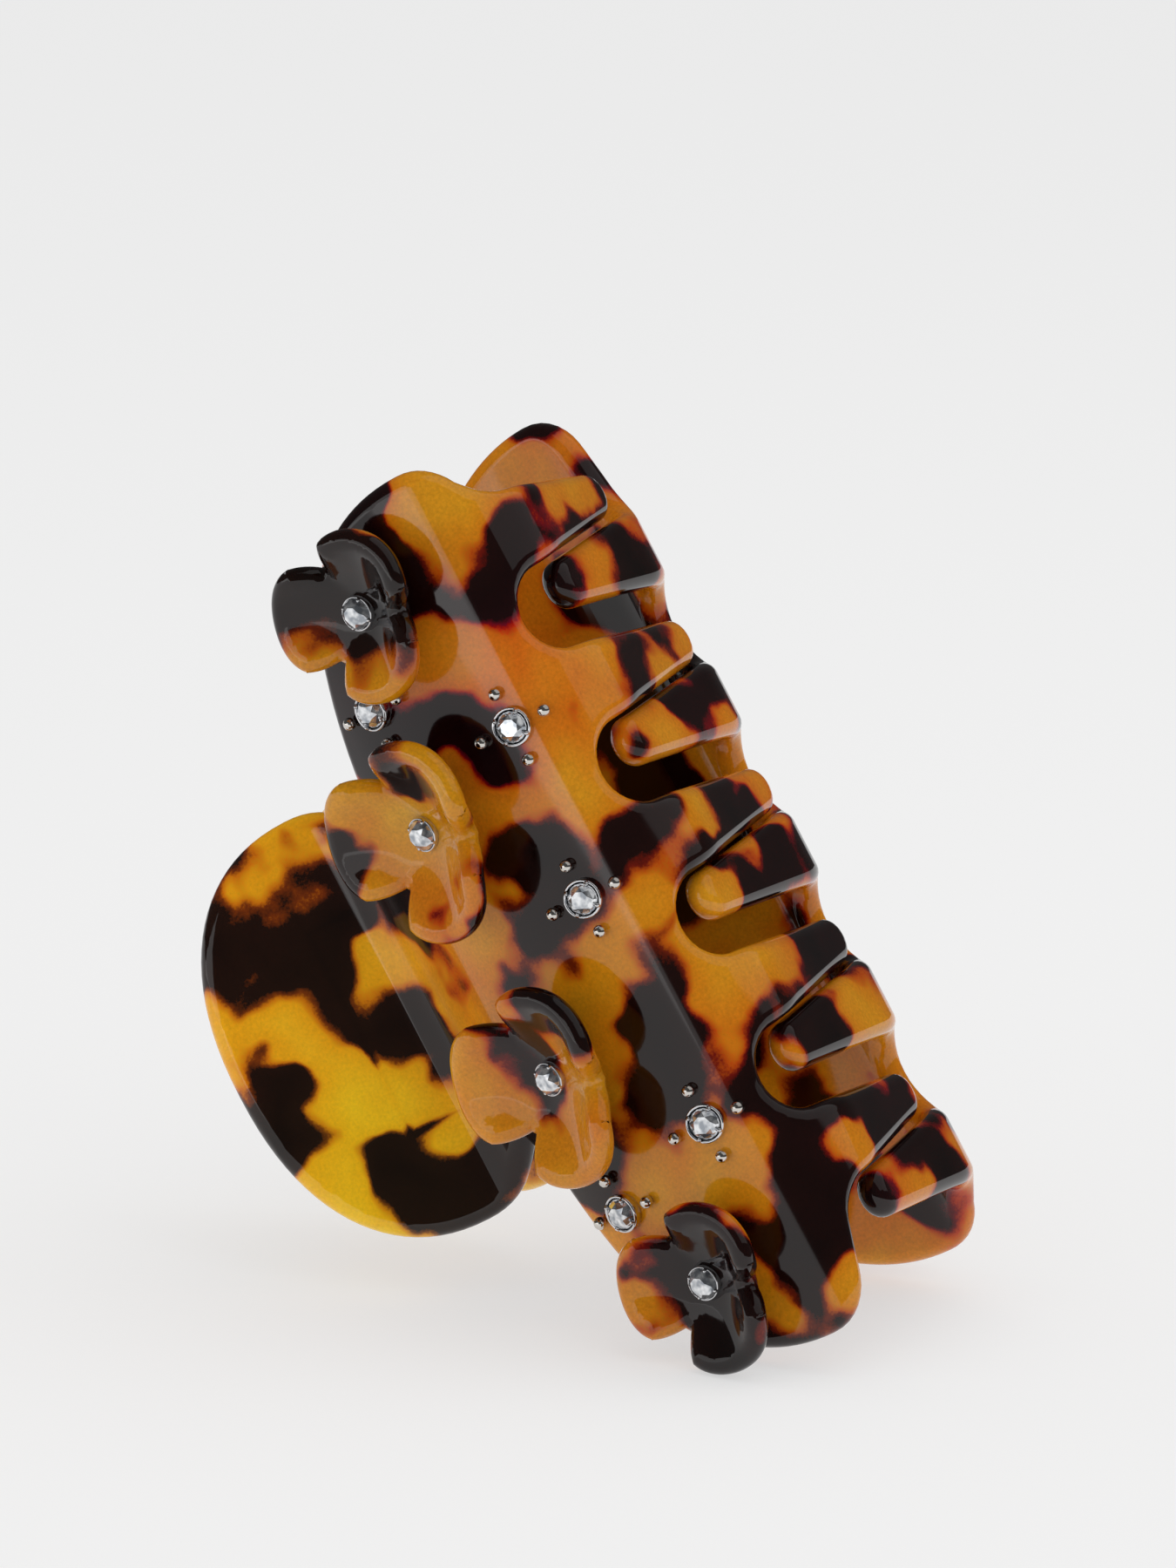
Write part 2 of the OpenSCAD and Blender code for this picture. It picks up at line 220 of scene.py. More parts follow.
# outline of a jaw laid out flat, before it is bent: x across and s down the sheet
jaw = {
    "halfLength": 46 * mm,
    "rim": 1.5 * mm,
    "rimSegments": 6,
    "tabHalfWidth": 22 * mm,
    "tabCentre": -6.9 * mm,
    "tabUp": 16.5 * mm,
    "tabDown": 8.5 * mm,
    "tabPower": 2.25,
    "notch": (15.2 * mm, 1.2 * mm, 1.0 * mm),
    "shoulderRadius": 53 * mm,
    "shoulderMeet": math.radians(61),
    "endRadius": 19 * mm,
    "cornerRadius": 6 * mm,
    "lobeDepth": 27.4 * mm,
    "toothPitch": 16.5 * mm,
    "combShift": -3.35 * mm,
    "toothCount": 5,
    "gapRadius": 4.25 * mm,
    "gapCentre": 37.25 * mm,
    "tipRadius": 2.5 * mm,
    "tipMiddle": 59.73 * mm,
    "tipFallBack": 3.21 * mm,
    "rightRoot": (4.3 * mm, 35.6 * mm, 5.5 * mm),
    "leftRoot": (4.2 * mm, 36 * mm, 6.5 * mm),
    "leftCornerRadius": 6.5 * mm,
    "leftLobeDepth": 27.8 * mm,
    "rightCornerEnd": math.radians(78),
    "leftCornerStart": math.radians(122),
    "shoulderStart": math.radians(-80),
    "tabStart": math.radians(207),
    "tabSweep": math.radians(234),
    "tabSteps": 60,
    "rowStep": 0.8 * mm,
}


def arcPoints(cx, cy, radius, start, end, count):
    angles = [start + (end - start) * i / count for i in range(count + 1)]
    return [(cx + radius * math.cos(a), cy + radius * math.sin(a)) for a in angles]


def filletPoints(before, corner, after, radius, count=5):
    # replaces a sharp corner by an arc that touches both sides
    p, a, b = Vector(corner), Vector(before), Vector(after)
    da, db = (a - p).normalized(), (b - p).normalized()
    half = da.angle(db) / 2
    middle = p + (da + db).normalized() * radius / math.sin(half)
    first, last = p + da * radius / math.tan(half), p + db * radius / math.tan(half)
    points = []
    for i in range(count + 1):
        blend = first.lerp(last, i / count) - middle
        points.append(tuple(middle + blend.normalized() * radius))
    return points


def shoulderSide():
    # from the tab's notch round the shoulder and the end lobe, x to the right and s downward
    endX = jaw["halfLength"] - jaw["endRadius"]
    endS = jaw["lobeDepth"]
    step = jaw["shoulderRadius"] - jaw["endRadius"]
    meet = jaw["shoulderMeet"]
    shoulder = (endX - step * math.cos(meet), endS + step * math.sin(meet))
    points = arcPoints(*shoulder, jaw["shoulderRadius"], jaw["shoulderStart"], -meet, 10)
    points += arcPoints(endX, endS, jaw["endRadius"], -meet, 0, 20)[1:]
    return points


def tabOutline():
    # clockwise from the left notch over the top to the right notch
    points = []
    power = 2 / jaw["tabPower"]
    for i in range(jaw["tabSteps"] + 1):
        a = jaw["tabStart"] - jaw["tabSweep"] * i / jaw["tabSteps"]
        c, s = math.cos(a), math.sin(a)
        down = jaw["tabUp"] if s > 0 else jaw["tabDown"]
        points.append((jaw["tabHalfWidth"] * math.copysign(abs(c) ** power, c),
                       jaw["tabCentre"] - down * math.copysign(abs(s) ** power, s)))
    return points


def toothTips():
    # the centres of the round tips, which fall back towards the ends of the comb
    last = jaw["toothCount"] - 1
    tips = []
    for i in range(jaw["toothCount"]):
        x = (i - last / 2) * jaw["toothPitch"] + jaw["combShift"]
        tips.append((x, jaw["tipMiddle"] - jaw["tipFallBack"] * abs(2 * i / last - 1) ** 2))
    return tips


def jawOutline():
    right = shoulderSide()
    left = [(-x, s) for x, s in reversed(right)]
    tips = toothTips()
    tip = jaw["tipRadius"]
    tab = tabOutline()
    nx, ns, nr = jaw["notch"]
    points = tab + filletPoints(tab[-1], (nx, ns), right[0], nr) + right
    corner = jaw["cornerRadius"]
    points += arcPoints(jaw["halfLength"] - corner, jaw["lobeDepth"], corner, 0, jaw["rightCornerEnd"], 8)[1:]
    x, s = tips[-1]
    out, rootS, radius = jaw["rightRoot"]
    points += filletPoints(points[-1], (x + out, rootS), (x + tip, s), radius, 9)
    for i, (x, s) in reversed(list(enumerate(tips))):
        points += arcPoints(x, s, tip, 0, math.pi, 14)
        if i:
            gapX = x - jaw["toothPitch"] / 2
            points += arcPoints(gapX, jaw["gapCentre"], jaw["gapRadius"], 0, -math.pi, 16)
    corner = jaw["leftCornerRadius"]
    lobeEnd = arcPoints(corner - jaw["halfLength"], jaw["leftLobeDepth"], corner, jaw["leftCornerStart"],
                        math.pi, 8)
    x, s = tips[0]
    out, rootS, radius = jaw["leftRoot"]
    points += filletPoints((x - tip, s), (x - out, rootS), lobeEnd[0], radius, 7)
    return points + lobeEnd + left + filletPoints(left[-1], (-nx, ns), tab[0], nr)


def buildJaw():
    bm = slab(jawOutline(), sheet["thickness"], jaw["rim"], jaw["rimSegments"])
    top = min(v.co.y for v in bm.verts)
    bottom = max(v.co.y for v in bm.verts)
    cutRows(bm, (0, 1, 0), top, bottom, jaw["rowStep"])
    for v in bm.verts:
        face, angle = sheetPoint(v.co.y)
        place = face + v.co.z * outward(angle)
        v.co = (v.co.x, place[0], place[1] + pinHeight)
    return bm


flower = {
    "x": [-36 * mm, -14.4 * mm, 12 * mm, 36 * mm],
    "angle": [math.radians(a) for a in (6, 15, 15, 6)],
    "radius": [9.9 * mm, 12 * mm, 12 * mm, 9.9 * mm],
    "lean": math.radians(7),
    "turn": math.radians(20),
    "thickness": 2.4 * mm,
    "petalShare": 0.53,
    "rise": 0.5 * mm,
    "topShare": 0.83,
    "lift": 4.1 * mm,
    "liftPower": 1.55,
    "dish": 2.7 * mm,
    "rim": 1.12 * mm,
    "rimSegments": 5,
    "rowStep": 0.75 * mm,
    "dishRise": 1.6,
    "cupAt": 10 * mm,
    "edgeSteps": 168,
    "bossRadius": 3 * mm,
    "bossTop": 2.4 * mm,
    "bossHeight": 1.6 * mm,
    "bossMiddle": 0.4 * mm,
    "seat": 0.4 * mm,
}


def petalReach(turn, radius):
    # distance from the middle to the petals' edge, in the direction turn
    third = 2 * math.pi / 3
    away = (turn + third / 2) % third - third / 2
    petal = flower["petalShare"] * radius
    middle = radius - petal
    return middle * math.cos(away) + math.sqrt(max(petal ** 2 - (middle * math.sin(away)) ** 2, 0))


def petalCup(x, y, radius):
    # each petal rises to its tip and is dished from side to side
    third = 2 * math.pi / 3
    r, a = math.hypot(x, y), math.atan2(y, x)
    away = (a + third / 2) % third - third / 2
    out = r * math.cos(away) / radius
    across = r * math.sin(away) / (flower["petalShare"] * radius)
    dish = flower["dish"] * across ** 2 * min(1, out * flower["dishRise"])
    return (flower["lift"] * out ** flower["liftPower"] + dish) * radius / flower["cupAt"]


def buildFlower(outerRadius):
    # the upper face is the smaller, because the sheet's thickness leans outward
    radius = outerRadius * flower["topShare"]
    points = []
    for i in range(flower["edgeSteps"]):
        a = 2 * math.pi * (i + 0.5) / flower["edgeSteps"]
        reach = petalReach(a, radius)
        points.append((reach * math.cos(a), reach * math.sin(a)))
    bm = slab(points, flower["thickness"], flower["rim"], flower["rimSegments"])
    cutRows(bm, (1, 0, 0), -radius, radius, flower["rowStep"])
    cutRows(bm, (0, 1, 0), -radius, radius, flower["rowStep"])
    step = 0.05 * mm
    for v in bm.verts:
        x, y, depth = v.co
        slopeX = (petalCup(x + step, y, radius) - petalCup(x - step, y, radius)) / (2 * step)
        slopeY = (petalCup(x, y + step, radius) - petalCup(x, y - step, radius)) / (2 * step)
        face = Vector((x, y, petalCup(x, y, radius) + flower["rise"] + flower["thickness"]))
        v.co = face + Vector((-slopeX, -slopeY, 1)).normalized() * depth
    boss = bmesh.new()
    bmesh.ops.create_cone(boss, cap_ends=True, segments=32, radius1=flower["bossRadius"],
                          radius2=flower["bossTop"], depth=flower["bossHeight"])
    addInto(bm, boss, Matrix.Translation((0, 0, flower["bossMiddle"])))
    boss.free()
    return bm


stone = {
    "radius": 1.55 * mm,
    "girdle": 0.25 * mm,
    "crown": 0.75 * mm,
    "table": 0.56,
    "seat": 1.0 * mm,
    "base": 0.62,
    "baseDepth": 0.5 * mm,
    "star": 0.82,
    "starRise": 0.6,
}
clusterBezel = {"radius": 1.95 * mm, "height": 1.35 * mm, "wall": 0.3 * mm, "prong": 0.26 * mm, "prongs": 4}
flowerBezel = {"radius": 1.75 * mm, "height": 1.2 * mm, "wall": 0.2 * mm, "prong": 0.22 * mm, "prongs": 4}
stud = {"radius": 0.65 * mm, "shank": 0.35 * mm, "sunk": 0.4 * mm, "ring": 3.5 * mm}
cluster = {
    "x": [-27.2 * mm, -19.6 * mm, -1.9 * mm, 22.5 * mm, 26.8 * mm],
    "angle": [math.radians(a) for a in (18, -7, -4, -5, 20)],
}


def buildStone():
    # rings of corners, joined by their hull into table, star, main and girdle facets
    bm = bmesh.new()
    low = stone["seat"]
    high = low + stone["girdle"]
    rings = [
        (stone["base"], low - stone["baseDepth"], 8, 0),
        (1.0, low, 16, 0),
        (1.0, high, 16, 0),
        (stone["star"], high + stone["crown"] * stone["starRise"], 8, math.pi / 8),
        (stone["table"], high + stone["crown"], 8, 0),
    ]
    for share, height, count, turn in rings:
        matrix = Matrix.Translation((0, 0, height)) @ Matrix.Rotation(turn, 4, "Z")
        bmesh.ops.create_circle(bm, segments=count, radius=share * stone["radius"], matrix=matrix)
    bmesh.ops.convex_hull(bm, input=bm.verts, use_existing_faces=False)
    loose = [v for v in bm.verts if not v.link_faces]
    bmesh.ops.delete(bm, geom=loose, context="VERTS")
    bmesh.ops.dissolve_limit(bm, angle_limit=math.radians(1), verts=bm.verts, edges=bm.edges)
    return bm


def spinProfile(profile, segments):
    # a closed round shape from (radius, height) points
    bm = bmesh.new()
    verts = [bm.verts.new((r, 0, z)) for r, z in profile]
    edges = [bm.edges.new(pair) for pair in zip(verts, verts[1:])]
    bmesh.ops.spin(bm, geom=verts + edges, cent=(0, 0, 0), axis=(0, 0, 1), angle=2 * math.pi,
                   steps=segments, use_merge=True)
    bmesh.ops.remove_doubles(bm, verts=bm.verts, dist=1e-7)
    return bm


def buildBezel(bezel):
    r, h, w = bezel["radius"], bezel["height"], bezel["wall"]
    profile = [(0, 0), (r * 0.86, 0), (r * 0.94, 0.15 * mm), (r, h * 0.45), (r, h - 0.2 * mm),
               (r - w * 0.25, h), (r - w * 0.7, h), (r - w, h - 0.15 * mm), (r - w, h * 0.45), (0, h * 0.4)]
    bm = spinProfile(profile, 32)
    for i in range(bezel["prongs"]):
        turn = Matrix.Rotation(math.pi / 4 + i * 2 * math.pi / bezel["prongs"], 4, "Z")
        lean = Matrix.Rotation(math.radians(-24), 4, "Y")
        place = turn @ Matrix.Translation((r - w * 0.9, 0, h)) @ lean
        bmesh.ops.create_uvsphere(bm, u_segments=12, v_segments=8, radius=bezel["prong"],
                                  matrix=place @ Matrix.Diagonal((0.8, 1, 1.5, 1)))
    return bm


def buildStud():
    r, shank = stud["radius"], stud["shank"]
    neck = -math.acos(shank / r)
    ball = arcPoints(0, r, r, neck, math.pi / 2, 10)[:-1]
    return spinProfile([(0, -stud["sunk"]), (shank, -stud["sunk"]), *ball, (0, 2 * r)], 20)


def flowerPlaces(height):
    up = Matrix.Translation((0, 0, height))
    return [onFace(x, a, flower["lean"]) @ up for x, a in zip(flower["x"], flower["angle"])]


def clusterPlaces(height):
    up = Matrix.Translation((0, 0, height))
    return [onFace(x, a) @ up for x, a in zip(cluster["x"], cluster["angle"])]


def studPlaces():
    step = stud["ring"] / sheet["bodyRadius"]
    places = []
    for x, a in zip(cluster["x"], cluster["angle"]):
        for side in (-1, 1):
            places.append(onFace(x + side * stud["ring"], a))
            places.append(onFace(x, a + side * step))
    return places


def repeated(one, places):
    bm = bmesh.new()
    for place in places:
        addInto(bm, one, place)
    one.free()
    return bm


spring = {
    "wire": 0.45 * mm,
    "coil": 2.35 * mm,
    "turns": 8,
    "pitch": 0.93 * mm,
    "stepsPerTurn": 24,
    "legOnTab": 5.4 * mm,
}


def springFoot():
    # where a leg ends, on the inner face of the front tab, in (y, z) from the pin
    inside = sheet["bendRadius"] + sheet["thickness"] + spring["wire"]
    return bendCentre - inside * outward(-sheet["flare"]) - spring["legOnTab"] * along(-sheet["flare"])


def buildSpring():
    # one wire: down a leg from one tab, round the pin, and up the other leg
    foot = springFoot()
    tangent = math.atan2(foot[1], foot[0]) + math.acos(spring["coil"] / foot.length)
    legLength = math.sqrt(foot.length ** 2 - spring["coil"] ** 2)
    wound = spring["turns"] * 2 * math.pi + math.pi - 2 * tangent
    halfCoil = wound / (2 * math.pi) * spring["pitch"] / 2
    start = Vector((halfCoil, *(spring["coil"] * outward(tangent)))) + Vector((0, 0, pinHeight))
    frontWay = Vector((0, *along(tangent)))
    backWay = Vector((0, -frontWay.y, frontWay.z))
    turn = Vector((0, 0, 1)).rotation_difference(frontWay).to_matrix().to_4x4()
    bm = bmesh.new()
    bmesh.ops.create_circle(bm, segments=12, radius=spring["wire"], matrix=Matrix.Translation(start) @ turn)
    first = bm.edges[:]
    steps = round(wound / (2 * math.pi) * spring["stepsPerTurn"])
    coil = bmesh.ops.spin(bm, geom=bm.verts[:] + first, cent=(0, 0, pinHeight), axis=(1, 0, 0),
                          dvec=(-2 * halfCoil / steps, 0, 0), angle=wound, steps=steps)
    last = [e for e in coil["geom_last"] if isinstance(e, bmesh.types.BMEdge)]
    for edges, way in ((first, frontWay), (last, backWay)):
        leg = bmesh.ops.extrude_edge_only(bm, edges=edges)
        verts = [v for v in leg["geom"] if isinstance(v, bmesh.types.BMVert)]
        bmesh.ops.translate(bm, verts=verts, vec=way * legLength)
    bmesh.ops.holes_fill(bm, edges=[e for e in bm.edges if e.is_boundary], sides=0)
    return bm, halfCoil


tortoise = {
    "swirl": 7 * mm,
    "swirlReach": 5.5 * mm,
    "patch": 10 * mm,
    "cloud": 22 * mm,
    "grain": 0.32 * mm,
    "edgeSharpness": 4.5,
    "raggedness": 0.16,
    "grainValue": 0.48,
    "hazeHue": 0.06,
    # painted backlight on the tab: the hue and value it adds, and the heights over which it fades in
    "paintedBacklightHue": 0.034,
    "paintedBacklightValue": 0.3,
    "paintedBacklightFrom": -9 * mm,
    "paintedBacklightFull": 5 * mm,
    "stops": [(0.0, "#f2b320"), (0.40, "#ea9c14"), (0.465, "#cf6a0a"), (0.505, "#7a2c08"),
              (0.555, "#210d07"), (1.0, "#120603")],
}

# painted shadow line of the steel leaf behind the tab: its place, width and depth of shade
leafShadowLine = {"halfLength": 11.1 * mm, "height": 6.3 * mm, "width": 0.55 * mm, "shade": 0.13, "from": 1.5 * mm}


def leafShade(tree, place, level):
    # painted shadow: the steel leaf's upper edge and ends, behind the tab, are painted into the acetate's
    # colour as a soft darker line
    axes = addNode(tree, "ShaderNodeSeparateXYZ", {"Vector": place}).outputs
    half = addNode(tree, "ShaderNodeMath", {0: axes["X"]}, operation="ABSOLUTE").outputs[0]
    acrossEnd = addNode(tree, "ShaderNodeMath", {0: half, 1: leafShadowLine["halfLength"]}, operation="SUBTRACT")
    overEdge = addNode(tree, "ShaderNodeMath", {0: axes["Z"], 1: pinHeight + leafShadowLine["height"]},
                       operation="SUBTRACT")
    outside = addNode(tree, "ShaderNodeMath", {0: acrossEnd.outputs[0], 1: overEdge.outputs[0]},
                      operation="MAXIMUM")
    away = addNode(tree, "ShaderNodeMath", {0: outside.outputs[0]}, operation="ABSOLUTE").outputs[0]
    line = addNode(tree, "ShaderNodeMapRange", {"Value": away, "From Max": leafShadowLine["width"],
                                                "To Min": leafShadowLine["shade"], "To Max": 0.0})
    above = addNode(tree, "ShaderNodeMath", {0: axes["Z"], 1: pinHeight + leafShadowLine["from"]},
                    operation="GREATER_THAN")
    shade = addNode(tree, "ShaderNodeMath", {0: line.outputs[0], 1: above.outputs[0], 2: level},
                    operation="MULTIPLY_ADD")
    return shade.outputs[0]


def polishedAcetate(name, shift, darkShare, tones=(0.452, 0.75), paintLeafShadow=True):
    # block-pressed cellulose acetate: amber with dark brown clouds, sawn, tumbled and polished to a wet gloss
    material, tree = newMaterial(name)
    place = addNode(tree, "ShaderNodeTexCoord").outputs["Object"]
    swirl = addNode(tree, "ShaderNodeTexNoise",
                    {"Vector": place, "Scale": 1 / tortoise["swirl"], "Detail": 2.0})
    centred = addNode(tree, "ShaderNodeVectorMath", {0: swirl.outputs["Color"], 1: (0.5, 0.5, 0.5)},
                      operation="SUBTRACT")
    moved = addNode(tree, "ShaderNodeVectorMath", {0: centred.outputs[0], "Scale": tortoise["swirlReach"]},
                    operation="SCALE")
    warped = addNode(tree, "ShaderNodeVectorMath", {0: place, 1: moved.outputs[0]},
                     operation="ADD").outputs[0]
    shifted = addNode(tree, "ShaderNodeMapping", {"Vector": warped, "Location": shift}).outputs[0]
    patch = addNode(tree, "ShaderNodeTexNoise",
                    {"Vector": shifted, "Scale": 1 / tortoise["patch"], "Detail": 1.5, "Roughness": 0.4})
    # depth into a dark cloud: 0 at its edge
    sharp = tortoise["edgeSharpness"]
    depth = addNode(tree, "ShaderNodeMath", {0: patch.outputs["Fac"], 1: sharp, 2: -sharp * darkShare},
                    operation="MULTIPLY_ADD").outputs[0]
    grain = addNode(tree, "ShaderNodeTexNoise", {"Vector": place, "Scale": 1 / tortoise["grain"],
                                                 "Detail": 2.0, "Roughness": 0.6}).outputs["Fac"]
    ragged = addNode(tree, "ShaderNodeMath", {0: grain, 1: tortoise["raggedness"], 2: depth},
                     operation="MULTIPLY_ADD")
    level = addNode(tree, "ShaderNodeMath", {0: ragged.outputs[0], 1: 0.5, 2: 0.46}, operation="MULTIPLY_ADD")
    # painted shadow of the steel leaf, on the jaws' acetate only
    level = leafShade(tree, place, level.outputs[0]) if paintLeafShadow else level.outputs[0]
    ramp = addNode(tree, "ShaderNodeValToRGB", {"Fac": level})
    setStops(ramp.color_ramp, tortoise["stops"])
    # the amber is cloudy, and has a fine pearly grain
    haze = addNode(tree, "ShaderNodeTexNoise",
                   {"Vector": shifted, "Scale": 1 / tortoise["cloud"], "Detail": 1.0}).outputs["Fac"]
    # painted light: the tab's colour is made lighter and yellower than the body's, standing in for the bright
    # floor's light shining through it
    height = addNode(tree, "ShaderNodeSeparateXYZ", {"Vector": place}).outputs["Z"]
    low, high = pinHeight + tortoise["paintedBacklightFrom"], pinHeight + tortoise["paintedBacklightFull"]
    paintedBacklight = addNode(tree, "ShaderNodeMapRange",
                      {"Value": height, "From Min": low, "From Max": high}).outputs[0]
    baseHue, baseValue = tones
    darkest = baseValue - tortoise["grainValue"] / 2
    lit = addNode(tree, "ShaderNodeMath", {0: paintedBacklight, 1: tortoise["paintedBacklightValue"], 2: darkest},
                  operation="MULTIPLY_ADD").outputs[0]
    value = addNode(tree, "ShaderNodeMath", {0: grain, 1: tortoise["grainValue"], 2: lit},
                    operation="MULTIPLY_ADD")
    turned = addNode(tree, "ShaderNodeMath", {0: paintedBacklight, 1: tortoise["paintedBacklightHue"], 2: baseHue},
                     operation="MULTIPLY_ADD").outputs[0]
    hue = addNode(tree, "ShaderNodeMath", {0: haze, 1: tortoise["hazeHue"], 2: turned},
                  operation="MULTIPLY_ADD")
    tone = addNode(tree, "ShaderNodeHueSaturation",
                   {"Hue": hue.outputs[0], "Value": value.outputs[0], "Color": ramp.outputs["Color"]})
    shader = addNode(tree, "ShaderNodeBsdfPrincipled", {
        "Base Color": tone.outputs["Color"], "Roughness": 0.07, "IOR": 1.48,
        "Subsurface Weight": 0.1, "Subsurface Radius": (0.003, 0.0012, 0.0004), "Subsurface Scale": 1.0})
    finishMaterial(tree, shader)
    return material


def metal(name, code, roughness, grainSize, strength):
    material, tree = newMaterial(name)
    place = addNode(tree, "ShaderNodeTexCoord").outputs["Object"]
    grain = addNode(tree, "ShaderNodeTexNoise", {"Vector": place, "Scale": 1 / grainSize, "Detail": 2.0})
    bump = addNode(tree, "ShaderNodeBump", {"Height": grain.outputs["Fac"], "Strength": strength,
                                            "Distance": 0.02 * mm})
    shader = addNode(tree, "ShaderNodeBsdfPrincipled", {
        "Base Color": hexColour(code), "Metallic": 1.0, "Roughness": roughness, "Normal": bump.outputs[0]})
    finishMaterial(tree, shader)
    return material


def foiledCutGlass(name):
    # cut glass with a mirror foil behind it, so that each facet is bright or dark as a whole
    material, tree = newMaterial(name)
    place = addNode(tree, "ShaderNodeTexCoord").outputs["Object"]
    cloud = addNode(tree, "ShaderNodeTexNoise", {"Vector": place, "Scale": 1 / (0.7 * mm), "Detail": 1.0})
    ramp = addNode(tree, "ShaderNodeValToRGB", {"Fac": cloud.outputs["Fac"]})
    setStops(ramp.color_ramp, [(0.35, "#9aa0a8"), (0.65, "#f4f6f8")])
    shader = addNode(tree, "ShaderNodeBsdfPrincipled", {
        "Base Color": ramp.outputs["Color"], "Metallic": 0.85, "Roughness": 0.04, "IOR": 1.54,
        "Coat Weight": 1.0, "Coat Roughness": 0.02})
    finishMaterial(tree, shader)
    return material


frontAcetate = polishedAcetate("polishedTortoiseAcetate", (0.027, 0.041, 0.055), 0.5)
backAcetate = polishedAcetate("polishedTortoiseAcetateBack", (0.05, 0.02, 0), 0.51)
petalAcetate = polishedAcetate("polishedPetalAcetate", (0.036, 0.012, 0.002), 0.525, (0.458, 0.66), False)
settingPlate = metal("rhodiumPlatedBrass", "#d8d8da", 0.12, 0.5 * mm, 0.1)
studPlate = metal("polishedNickelBalls", "#d6d2cc", 0.08, 0.4 * mm, 0.05)
leafPlate = metal("nickelPlatedSteel", "#b9b6b0", 0.3, 0.25 * mm, 0.3)
wireSteel = metal("drawnSpringWire", "#a9a8a6", 0.25, 0.2 * mm, 0.3)
cutGlass = foiledCutGlass("foiledCutGlass")
print("materials made")


for side in ("front", "back"):
    bm = buildJaw()
    acetate = frontAcetate if side == "front" else backAcetate
    pieces = {"jaw": (bm, "bent_jaw", acetate, "tortoiseshell_acetate", [side + "_jaw"], True)}
    for i, radius in enumerate(flower["radius"]):
        bm = bmesh.new()
        one = buildFlower(radius)
        spin = Matrix.Rotation(-math.pi / 2 - flower["turn"], 4, "Z")
        addInto(bm, one, flowerPlaces(0)[i] @ spin)
        one.free()
        pieces[f"flower_{i + 1}"] = (bm, f"cupped_flower_{i + 1}", petalAcetate, "flower_acetate",
                                     [f"{side}_flower_{i + 1}"], True)
    top = flower["rise"] + flower["thickness"] - flower["seat"]
    for group, bezel, places in (("flower", flowerBezel, flowerPlaces(top)),
                                 ("cluster", clusterBezel, clusterPlaces(-flower["seat"]))):
        pieces[group + "Settings"] = (repeated(buildBezel(bezel), places), group + "_bezels", settingPlate,
                                      "plated_settings", [f"{side}_{group}_settings"], True)
        pieces[group + "Stones"] = (repeated(buildStone(), places), group + "_cut_stones", cutGlass,
                                    "crystal_stones", [f"{side}_{group}_stones"], False)
    pieces["studs"] = (repeated(buildStud(), studPlaces()), "ball_pins", studPlate, "polished_studs",
                       [side + "_ball_studs"], True)
    for bm, name, material, slotName, nodes, smooth in pieces.values():
        if side == "back":
            turnedBack(bm)
        made = makePiece(bm, f"{side}_{name}", material, side, nodes, smooth)
        if name == "bent_jaw":
            even = made.modifiers.new("evenNormals", "WEIGHTED_NORMAL")
            even.keep_sharp = False
    print(side, "side made")

bm, halfCoil = buildSpring()
wire = makePiece(bm, "wound_spring", wireSteel, None, ["torsion_spring"])
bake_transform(wire)
print("spring made")

for node in ("front_hinge_leaf", "back_hinge_leaf", "hinge_pin"):
    frame["nodes"][node].data.materials.clear()
    frame["nodes"][node].data.materials.append(leafPlate)


view = {
    "toCamera": Vector((0.0066, 0.9029, -0.4297)),
    "aim": Vector((-11.6 * mm, -8.7 * mm, 17.3 * mm)),
    "distance": 776 * mm,
    "lens": 180,
    "alongX": (0.4592, 0.888),
}

studio = {
    "seen": 0.863,
    "fill": 0.6,
    "gloss": 0.07,
    "floorGlow": 0.55,
    "floorPaper": 0.45,
    "floorWay": (0.85, 0, 0.526),
    "floorHalf": 8,
    "floorGap": 0.1 * mm,
    "aim": (0, 0, 20 * mm),
    "softbox": 1.2,
    "softboxHeight": math.radians(32),
    "upper": 0.8,
}


def placeCamera():
    camera = bpy.data.objects.new("camera", bpy.data.cameras.new("camera"))
    bpy.context.scene.collection.objects.link(camera)
    back = view["toCamera"].normalized()
    lengthWay = (Vector((1, 0, 0)) - back * back.x).normalized()
    tabWay = back.cross(lengthWay)
    if tabWay.z < 0:
        tabWay = -tabWay
    c, s = view["alongX"]
    right = (lengthWay * c - tabWay * s).normalized()
    up = back.cross(right)
    turn = Matrix((right, up, back)).transposed().to_4x4()
    camera.matrix_world = Matrix.Translation(view["aim"] + back * view["distance"]) @ turn
    camera.data.lens = view["lens"]
    camera.data.sensor_width = 36
    camera.data.clip_start = 0.01
    bpy.context.scene.camera = camera


def areaLight(name, way, distance, size, power, target):
    light = bpy.data.lights.new(name, "AREA")
    light.shape = "RECTANGLE"
    light.size, light.size_y = size
    light.energy = power
    lamp = bpy.data.objects.new(name, light)
    bpy.context.scene.collection.objects.link(lamp)
    way = Vector(way).normalized()
    turn = way.to_track_quat("Z", "X").to_matrix().to_4x4()
    lamp.matrix_world = Matrix.Translation(Vector(target) + way * distance) @ turn


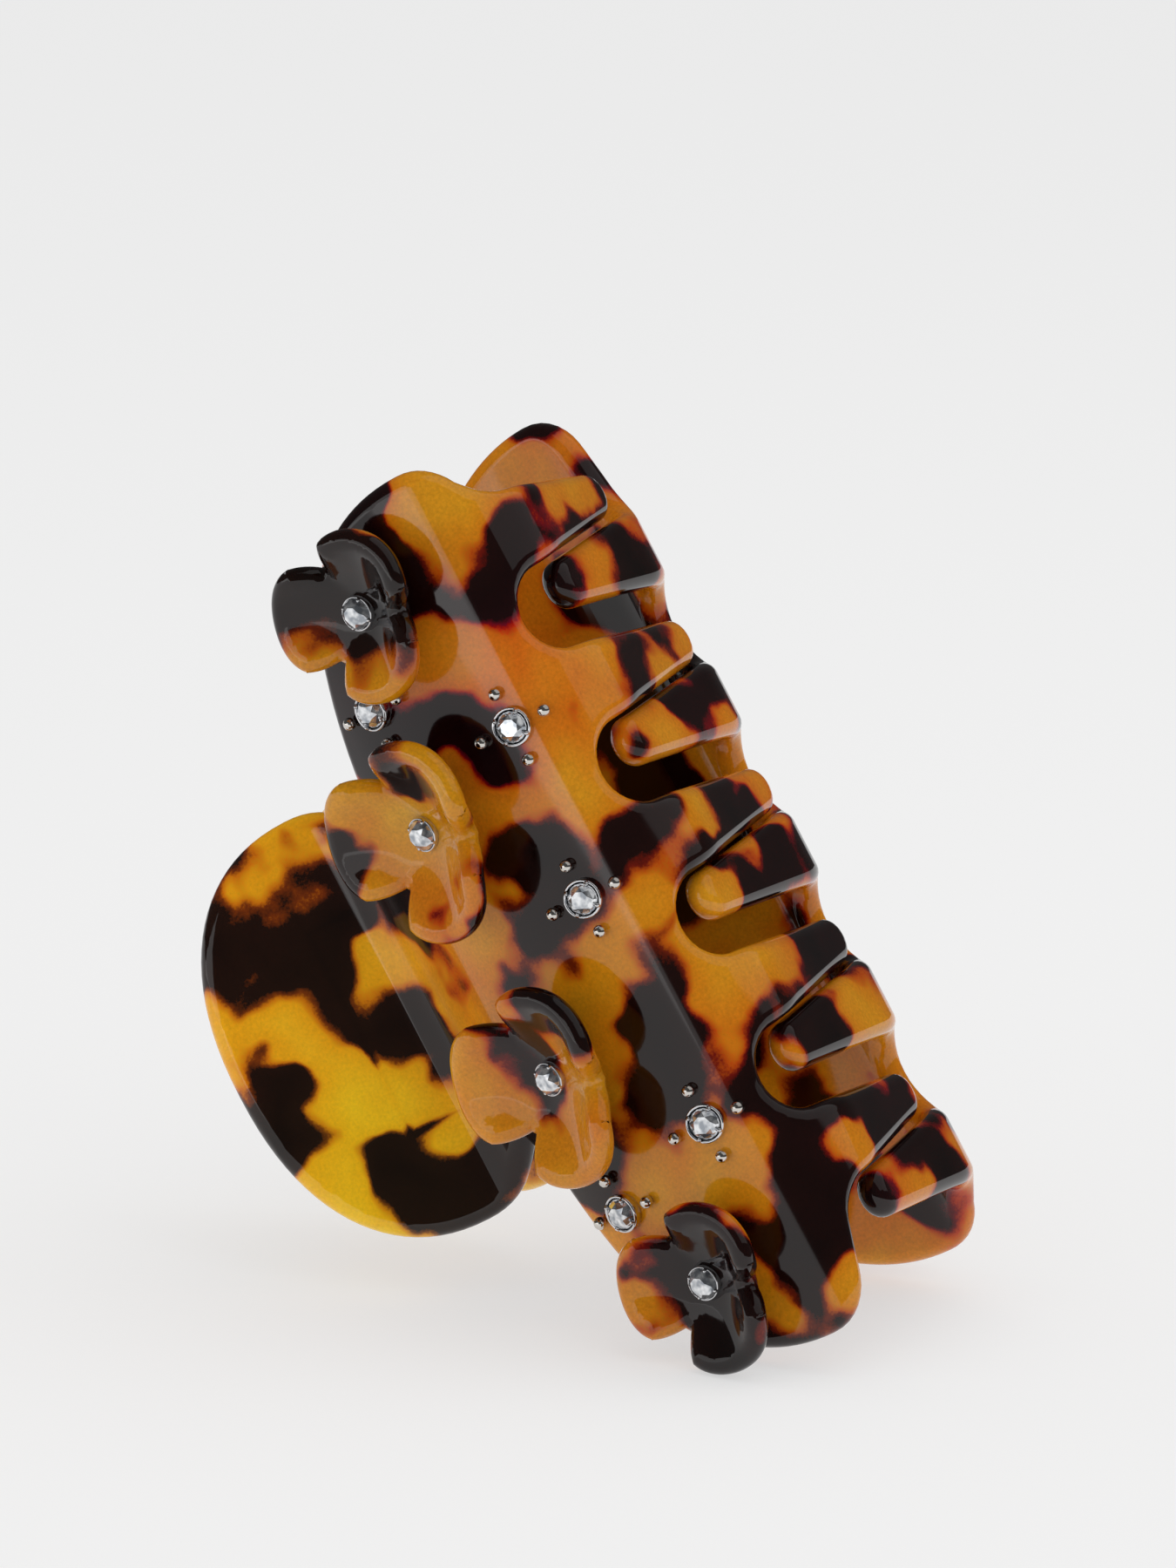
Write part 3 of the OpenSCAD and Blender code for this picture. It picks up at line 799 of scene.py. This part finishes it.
def layFloor():
    # the clip leans on its tabs and lower lobes, so the floor is a slope in its own frame
    way = Vector(studio["floorWay"]).normalized()
    standing = [o for o in bpy.data.objects if "bent_jaw" in o.name or "cupped_flower" in o.name]
    reach = max(way.dot(v.co) for o in standing for v in o.data.vertices)
    bm = bmesh.new()
    bmesh.ops.create_grid(bm, x_segments=8, y_segments=8, size=studio["floorHalf"])
    turn = (-way).to_track_quat("Z", "Y").to_matrix().to_4x4()
    under = Matrix.Translation(way * (reach + studio["floorGap"]))
    bmesh.ops.transform(bm, matrix=under @ turn, verts=bm.verts)
    mesh = bpy.data.meshes.new("floor")
    bm.to_mesh(mesh)
    bm.free()
    floor = bpy.data.objects.new("floor", mesh)
    bpy.context.scene.collection.objects.link(floor)
    material, tree = newMaterial("paleBackdropPaper")
    # evenly lit from behind, so that only soft contact shadows show
    share = studio["floorPaper"]
    plain = addNode(tree, "ShaderNodeBsdfDiffuse", {"Color": (share, share, share, 1)})
    glow = addNode(tree, "ShaderNodeEmission", {"Color": (1, 1, 1, 1), "Strength": studio["floorGlow"]})
    paper = addNode(tree, "ShaderNodeAddShader", {0: plain.outputs[0], 1: glow.outputs[0]})
    clear = addNode(tree, "ShaderNodeBsdfTransparent")
    behind = addNode(tree, "ShaderNodeNewGeometry").outputs["Backfacing"]
    mix = addNode(tree, "ShaderNodeMixShader", {0: behind, 1: paper.outputs[0], 2: clear.outputs[0]})
    finishMaterial(tree, mix)
    mesh.materials.append(material)


def lightWorld():
    # a dim room to mirrors, and a soft fill to everything else
    world = bpy.data.worlds.new("studio")
    bpy.context.scene.world = world
    world.use_nodes = True
    tree = world.node_tree
    tree.nodes.clear()
    ray = addNode(tree, "ShaderNodeLightPath").outputs
    dim = addNode(tree, "ShaderNodeMix", {0: ray["Is Glossy Ray"], 2: studio["fill"], 3: studio["gloss"]})
    level = addNode(tree, "ShaderNodeMix", {0: ray["Is Camera Ray"], 2: dim.outputs[0], 3: studio["seen"]})
    sky = addNode(tree, "ShaderNodeBackground", {"Color": (1, 1, 1, 1), "Strength": level.outputs[0]})
    addNode(tree, "ShaderNodeOutputWorld", {"Surface": sky.outputs[0]})


placeCamera()
layFloor()
lightWorld()
softboxWay = (0, math.cos(studio["softboxHeight"]), math.sin(studio["softboxHeight"]))
areaLight("mainSoftbox", softboxWay, 0.5, (0.6, 0.6), studio["softbox"], studio["aim"])
areaLight("upperSoftbox", (-0.5, -0.1, -0.9), 0.6, (0.8, 0.8), studio["upper"], studio["aim"])
bpy.context.scene.view_settings.view_transform = "Standard"
print("camera, floor and lights placed")
